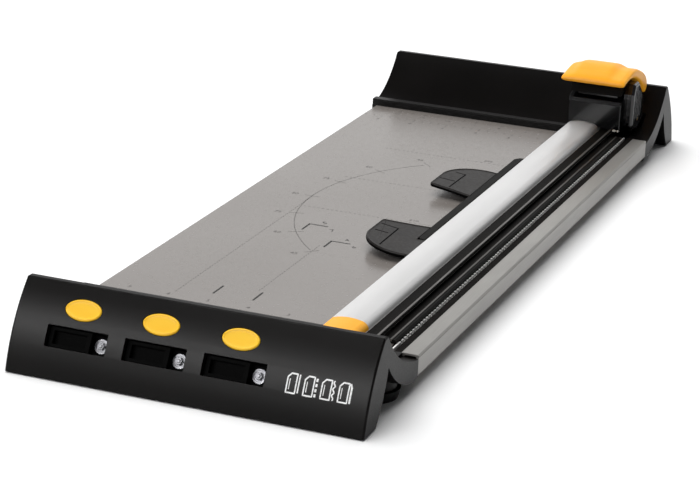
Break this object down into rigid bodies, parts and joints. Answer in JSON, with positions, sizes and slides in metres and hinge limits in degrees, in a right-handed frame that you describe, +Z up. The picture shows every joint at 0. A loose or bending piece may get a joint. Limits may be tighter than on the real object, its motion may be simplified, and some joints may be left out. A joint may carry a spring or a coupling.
{
  "type": "rotary paper trimmer",
  "caption": "Rotary paper trimmer with a sliding carriage on a guide rail, a tilting paper clamp and end caps that store spare cutting cartridges.",
  "frame": {"origin": "centre of the footprint, on the plane that the feet rest on", "axes": "+X across the table towards the cut line, +Y along the cut towards the rear end cap, +Z up"},
  "size_m": [0.214, 0.6456, 0.0744],
  "materials": {
    "cap_black": "fine-grained black moulding",
    "inner_black": "plain black moulding",
    "clamp_black": "satin black moulding",
    "gloss_black": "polished black moulding",
    "smoke_plastic": "smoke-grey satin moulding with engraved lines",
    "smoke_guard": "polished dark smoke moulding",
    "accent_yellow": "satin yellow-orange moulding",
    "table_grey": "warm grey satin coating with printed guide lines",
    "rail_silver": "bead-blasted satin anodised",
    "bed_aluminium": "mill-finish extrusion",
    "cutting_mat": "matt black cutting strip",
    "rubber": "matt black rubber",
    "nylon": "natural nylon",
    "steel": "ground steel",
    "dark_steel": "zinc-black screws",
    "brass": "sintered bronze bush"
  },
  "bodies": {
    "root": {"front_cap": "cap_black", "rear_cap": "cap_black", "front_cap_cover": "inner_black", "rear_cap_cover": "inner_black", "cartridge_rack": "inner_black", "table_top": "table_grey", "bed_extrusion": "bed_aluminium", "left_edge_rail": "bed_aluminium", "cross_bars": "bed_aluminium", "cutting_strip": "cutting_mat", "ledger_strip": "steel", "cap_screws": "dark_steel", "rubber_feet": "rubber", "edge_pads": "rubber", "foot_screws": "dark_steel", "rail_screws": "dark_steel", "guide_rail": "rail_silver", "glide_strip": "inner_black", "rib_cover": "inner_black", "rail_end_front": "accent_yellow", "rail_end_rear": "inner_black", "hinge_rod": "steel", "clamp_springs": "steel", "button_spring_1": "steel", "button_spring_2": "steel", "button_spring_3": "steel"},
    "paper_clamp": {"clamp_web": "inner_black", "clamp_spine": "clamp_black", "clamp_pad_front": "smoke_plastic", "clamp_pad_rear": "smoke_plastic", "clamp_strip": "clamp_black", "clamp_inlay": "rail_silver"},
    "carriage": {"carriage_body": "gloss_black", "glide_shoes": "nylon", "guide_posts": "steel", "press_springs": "steel"},
    "press_head": {"press_block": "gloss_black", "handle": "accent_yellow", "handle_screws": "dark_steel", "cartridge_shell": "gloss_black", "blade_guard": "smoke_guard", "axle_bushes": "brass"},
    "blade": {"blade": "steel", "blade_hub": "steel"},
    "button_1": {"button_1": "accent_yellow"},
    "cartridge_1": {"stored_cartridge_1": "gloss_black", "stored_wheel_1": "steel"},
    "button_2": {"button_2": "accent_yellow"},
    "cartridge_2": {"stored_cartridge_2": "gloss_black", "stored_wheel_2": "steel"},
    "button_3": {"button_3": "accent_yellow"},
    "cartridge_3": {"stored_cartridge_3": "gloss_black", "stored_wheel_3": "steel"}
  },
  "joints": [
    {"name": "carriage_slide", "type": "slide", "parent": "root", "child": "carriage", "axis": [0, -1, 0], "range_m": [0, 0.505]},
    {"name": "handle_press", "type": "slide", "parent": "carriage", "child": "press_head", "axis": [0, 0, -1], "range_m": [0, 0.0034], "stiffness_N_per_m": 2500, "springref_m": -0.004, "deforming": ["press_springs"]},
    {"name": "blade_spin", "type": "hinge", "parent": "press_head", "child": "blade", "pos_m": [0.0917, 0.25575, 0.033], "axis": [1, 0, 0], "continuous": true},
    {"name": "clamp_tilt", "type": "hinge", "parent": "root", "child": "paper_clamp", "pos_m": [0.0607, 0, 0.0246], "axis": [0, -1, 0], "range_deg": [0, 4.5], "stiffness_Nm_per_rad": 1.5, "springref_deg": -11.46},
    {"name": "button_1_press", "type": "slide", "parent": "root", "child": "button_1", "axis": [0, 0.7507, -0.6606], "range_m": [0, 0.002], "stiffness_N_per_m": 600, "springref_m": -0.001, "deforming": ["button_spring_1"]},
    {"name": "cartridge_1_pull", "type": "slide", "parent": "root", "child": "cartridge_1", "axis": [0, -0.874, 0.486], "range_m": [0, 0.02]},
    {"name": "button_2_press", "type": "slide", "parent": "root", "child": "button_2", "axis": [0, 0.7507, -0.6606], "range_m": [0, 0.002], "stiffness_N_per_m": 600, "springref_m": -0.001, "deforming": ["button_spring_2"]},
    {"name": "cartridge_2_pull", "type": "slide", "parent": "root", "child": "cartridge_2", "axis": [0, -0.874, 0.486], "range_m": [0, 0.02]},
    {"name": "button_3_press", "type": "slide", "parent": "root", "child": "button_3", "axis": [0, 0.7507, -0.6606], "range_m": [0, 0.002], "stiffness_N_per_m": 600, "springref_m": -0.001, "deforming": ["button_spring_3"]},
    {"name": "cartridge_3_pull", "type": "slide", "parent": "root", "child": "cartridge_3", "axis": [0, -0.874, 0.486], "range_m": [0, 0.02]}
  ]
}
